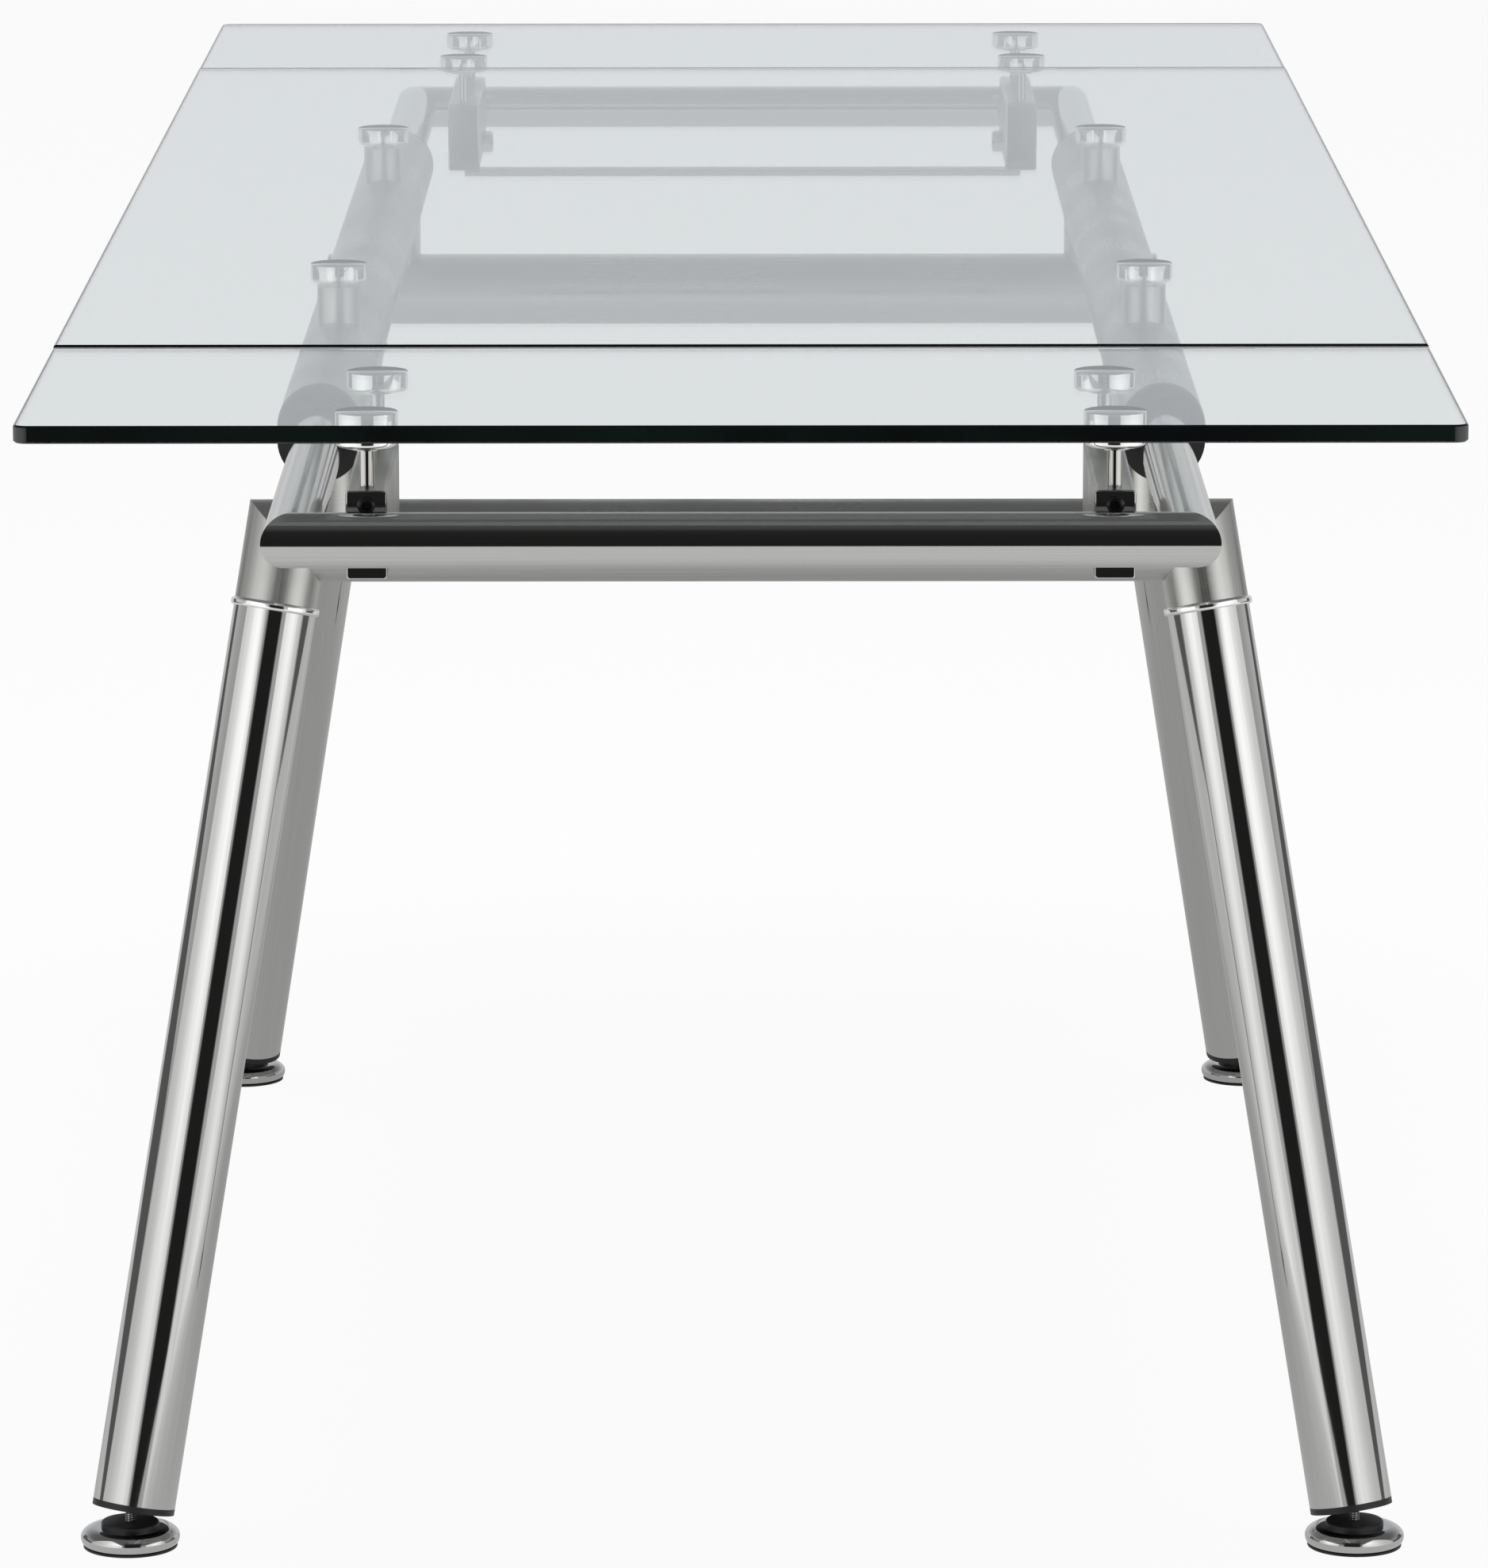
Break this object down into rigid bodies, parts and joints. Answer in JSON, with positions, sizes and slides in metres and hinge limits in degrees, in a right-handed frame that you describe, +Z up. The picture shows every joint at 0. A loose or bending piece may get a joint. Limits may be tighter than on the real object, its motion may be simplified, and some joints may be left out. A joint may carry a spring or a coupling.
{
  "type": "extendable dining table",
  "caption": "Glass dining table on splayed chrome legs, with end frames that slide out of side rails to carry lift-off glass leaves.",
  "frame": {"origin": "on the floor, under the centre of the table", "axes": "+Z up, +Y along the table's length towards its far end, +X across its width"},
  "size_m": [0.802, 2, 0.746],
  "materials": {
    "clear_glass": "clear float glass, edges ground and polished, looking dark green edge-on",
    "polished_chrome": "mirror-polished chrome plate",
    "satin_steel": "satin nickel-coloured steel",
    "black_plastic": "black moulded plastic",
    "blackened_steel": "blackened screw heads"
  },
  "bodies": {
    "table_frame": {"far_left_leg": "polished_chrome", "far_left_leg_socket": "satin_steel", "far_right_leg": "polished_chrome", "far_right_leg_socket": "satin_steel", "far_yoke_tube": "satin_steel", "left_rail": "satin_steel", "leg_collars": "polished_chrome", "leg_plugs": "black_plastic", "leg_spigots": "satin_steel", "main_discs": "polished_chrome", "main_glass": "clear_glass", "main_posts": "polished_chrome", "near_left_leg": "polished_chrome", "near_left_leg_socket": "satin_steel", "near_right_leg": "polished_chrome", "near_right_leg_socket": "satin_steel", "near_yoke_tube": "satin_steel", "rail_bushes": "black_plastic", "right_rail": "satin_steel", "yoke_posts": "satin_steel"},
    "near_end_frame": {"near_cap_screws": "blackened_steel", "near_carrier_caps": "polished_chrome", "near_cross_tube": "polished_chrome", "near_leaf_rods": "polished_chrome", "near_left_leaf_carrier": "polished_chrome", "near_left_side_tube": "polished_chrome", "near_pivot_caps": "polished_chrome", "near_right_leaf_carrier": "polished_chrome", "near_right_side_tube": "polished_chrome", "near_tie_rod": "polished_chrome", "near_tube_glides": "black_plastic"},
    "near_leaf": {"near_leaf_discs": "polished_chrome", "near_leaf_glass": "clear_glass"},
    "far_end_frame": {"far_cap_screws": "blackened_steel", "far_carrier_caps": "polished_chrome", "far_cross_tube": "polished_chrome", "far_leaf_rods": "polished_chrome", "far_left_leaf_carrier": "polished_chrome", "far_left_side_tube": "polished_chrome", "far_pivot_caps": "polished_chrome", "far_right_leaf_carrier": "polished_chrome", "far_right_side_tube": "polished_chrome", "far_tie_rod": "polished_chrome", "far_tube_glides": "black_plastic"},
    "far_leaf": {"far_leaf_discs": "polished_chrome", "far_leaf_glass": "clear_glass"},
    "near_left_foot": {"near_left_foot_core": "black_plastic", "near_left_foot_cover": "polished_chrome", "near_left_foot_stud": "polished_chrome"},
    "near_right_foot": {"near_right_foot_core": "black_plastic", "near_right_foot_cover": "polished_chrome", "near_right_foot_stud": "polished_chrome"},
    "far_left_foot": {"far_left_foot_core": "black_plastic", "far_left_foot_cover": "polished_chrome", "far_left_foot_stud": "polished_chrome"},
    "far_right_foot": {"far_right_foot_core": "black_plastic", "far_right_foot_cover": "polished_chrome", "far_right_foot_stud": "polished_chrome"}
  },
  "joints": [
    {"name": "near_frame_slide", "type": "slide", "parent": "table_frame", "child": "near_end_frame", "axis": [0, 1, 0], "range_m": [0, 0.3]},
    {"name": "near_leaf_lift", "type": "slide", "parent": "table_frame", "child": "near_leaf", "axis": [0, 0, 1], "range_m": [0, 0.15]},
    {"name": "far_frame_slide", "type": "slide", "parent": "table_frame", "child": "far_end_frame", "axis": [0, -1, 0], "range_m": [0, 0.3]},
    {"name": "far_leaf_lift", "type": "slide", "parent": "table_frame", "child": "far_leaf", "axis": [0, 0, 1], "range_m": [0, 0.15]},
    {"name": "near_left_foot_turn", "type": "hinge", "parent": "table_frame", "child": "near_left_foot", "pos_m": [-0.371, -0.624, 0.03], "axis": [0, 0, 1], "continuous": true},
    {"name": "near_right_foot_turn", "type": "hinge", "parent": "table_frame", "child": "near_right_foot", "pos_m": [0.371, -0.624, 0.03], "axis": [0, 0, 1], "continuous": true},
    {"name": "far_left_foot_turn", "type": "hinge", "parent": "table_frame", "child": "far_left_foot", "pos_m": [-0.371, 0.624, 0.03], "axis": [0, 0, 1], "continuous": true},
    {"name": "far_right_foot_turn", "type": "hinge", "parent": "table_frame", "child": "far_right_foot", "pos_m": [0.371, 0.624, 0.03], "axis": [0, 0, 1], "continuous": true}
  ],
  "couplings": [
    {"joint": "near_leaf_lift", "follows": "near_frame_slide", "ratio": 0.5},
    {"joint": "far_leaf_lift", "follows": "far_frame_slide", "ratio": 0.5}
  ]
}
